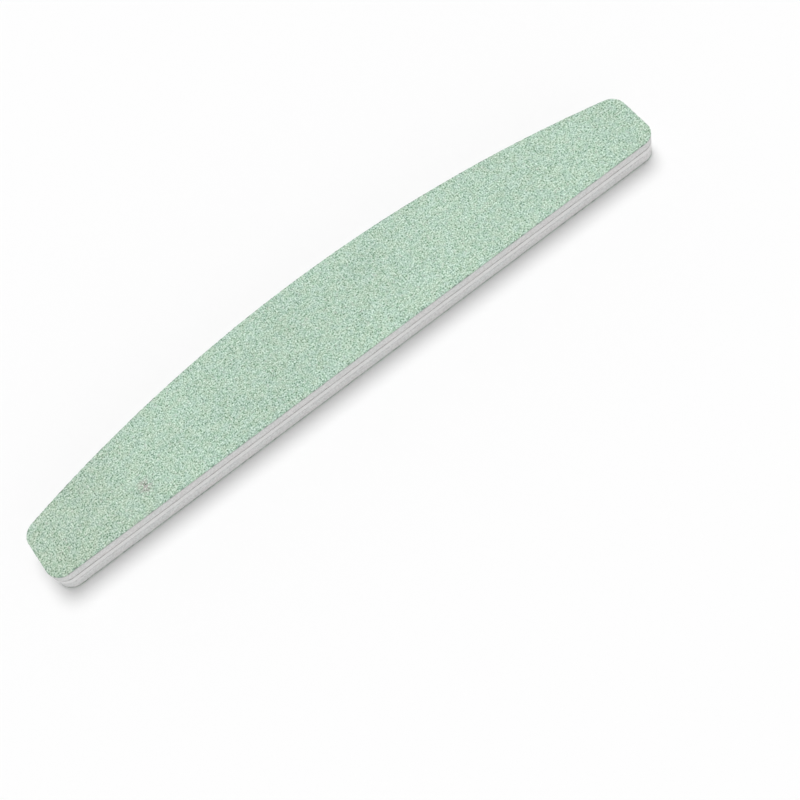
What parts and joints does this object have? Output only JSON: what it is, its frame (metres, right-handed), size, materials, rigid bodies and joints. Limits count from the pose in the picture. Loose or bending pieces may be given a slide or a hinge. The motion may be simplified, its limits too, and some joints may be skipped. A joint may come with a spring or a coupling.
{
  "type": "nail buffer block",
  "caption": "Half-moon sponge nail file: a flat laminate with a straight edge, a shallow curved edge and square ends, and a mint green abrasive face on each side.",
  "frame": {"origin": "middle of the lower abrasive face's bounding box, on the surface that the file lies on", "axes": "+X along the straight edge, +Y across the file towards the curved edge, +Z through the layers, up"},
  "size_m": [0.178, 0.0274, 0.008],
  "materials": {
    "abrasive_grit": "mint green mineral grains of mixed tint bonded in resin, coarse and matt",
    "backing_paper": "latex-treated abrasive backing paper, grey-green and matt",
    "adhesive": "double-sided acrylic adhesive film, faintly grey",
    "foam": "white closed-cell foam, fine-celled and matt, faintly warm grey",
    "core": "white plastic board, satin on its cut edge"
  },
  "bodies": {
    "root": {"lower_abrasive_grit": "abrasive_grit", "lower_backing_paper": "backing_paper", "lower_face_adhesive": "adhesive", "lower_foam_pad": "foam", "lower_core_adhesive": "adhesive", "core_board": "core", "upper_core_adhesive": "adhesive", "upper_foam_pad": "foam", "upper_face_adhesive": "adhesive", "upper_backing_paper": "backing_paper", "upper_abrasive_grit": "abrasive_grit"}
  },
  "joints": []
}
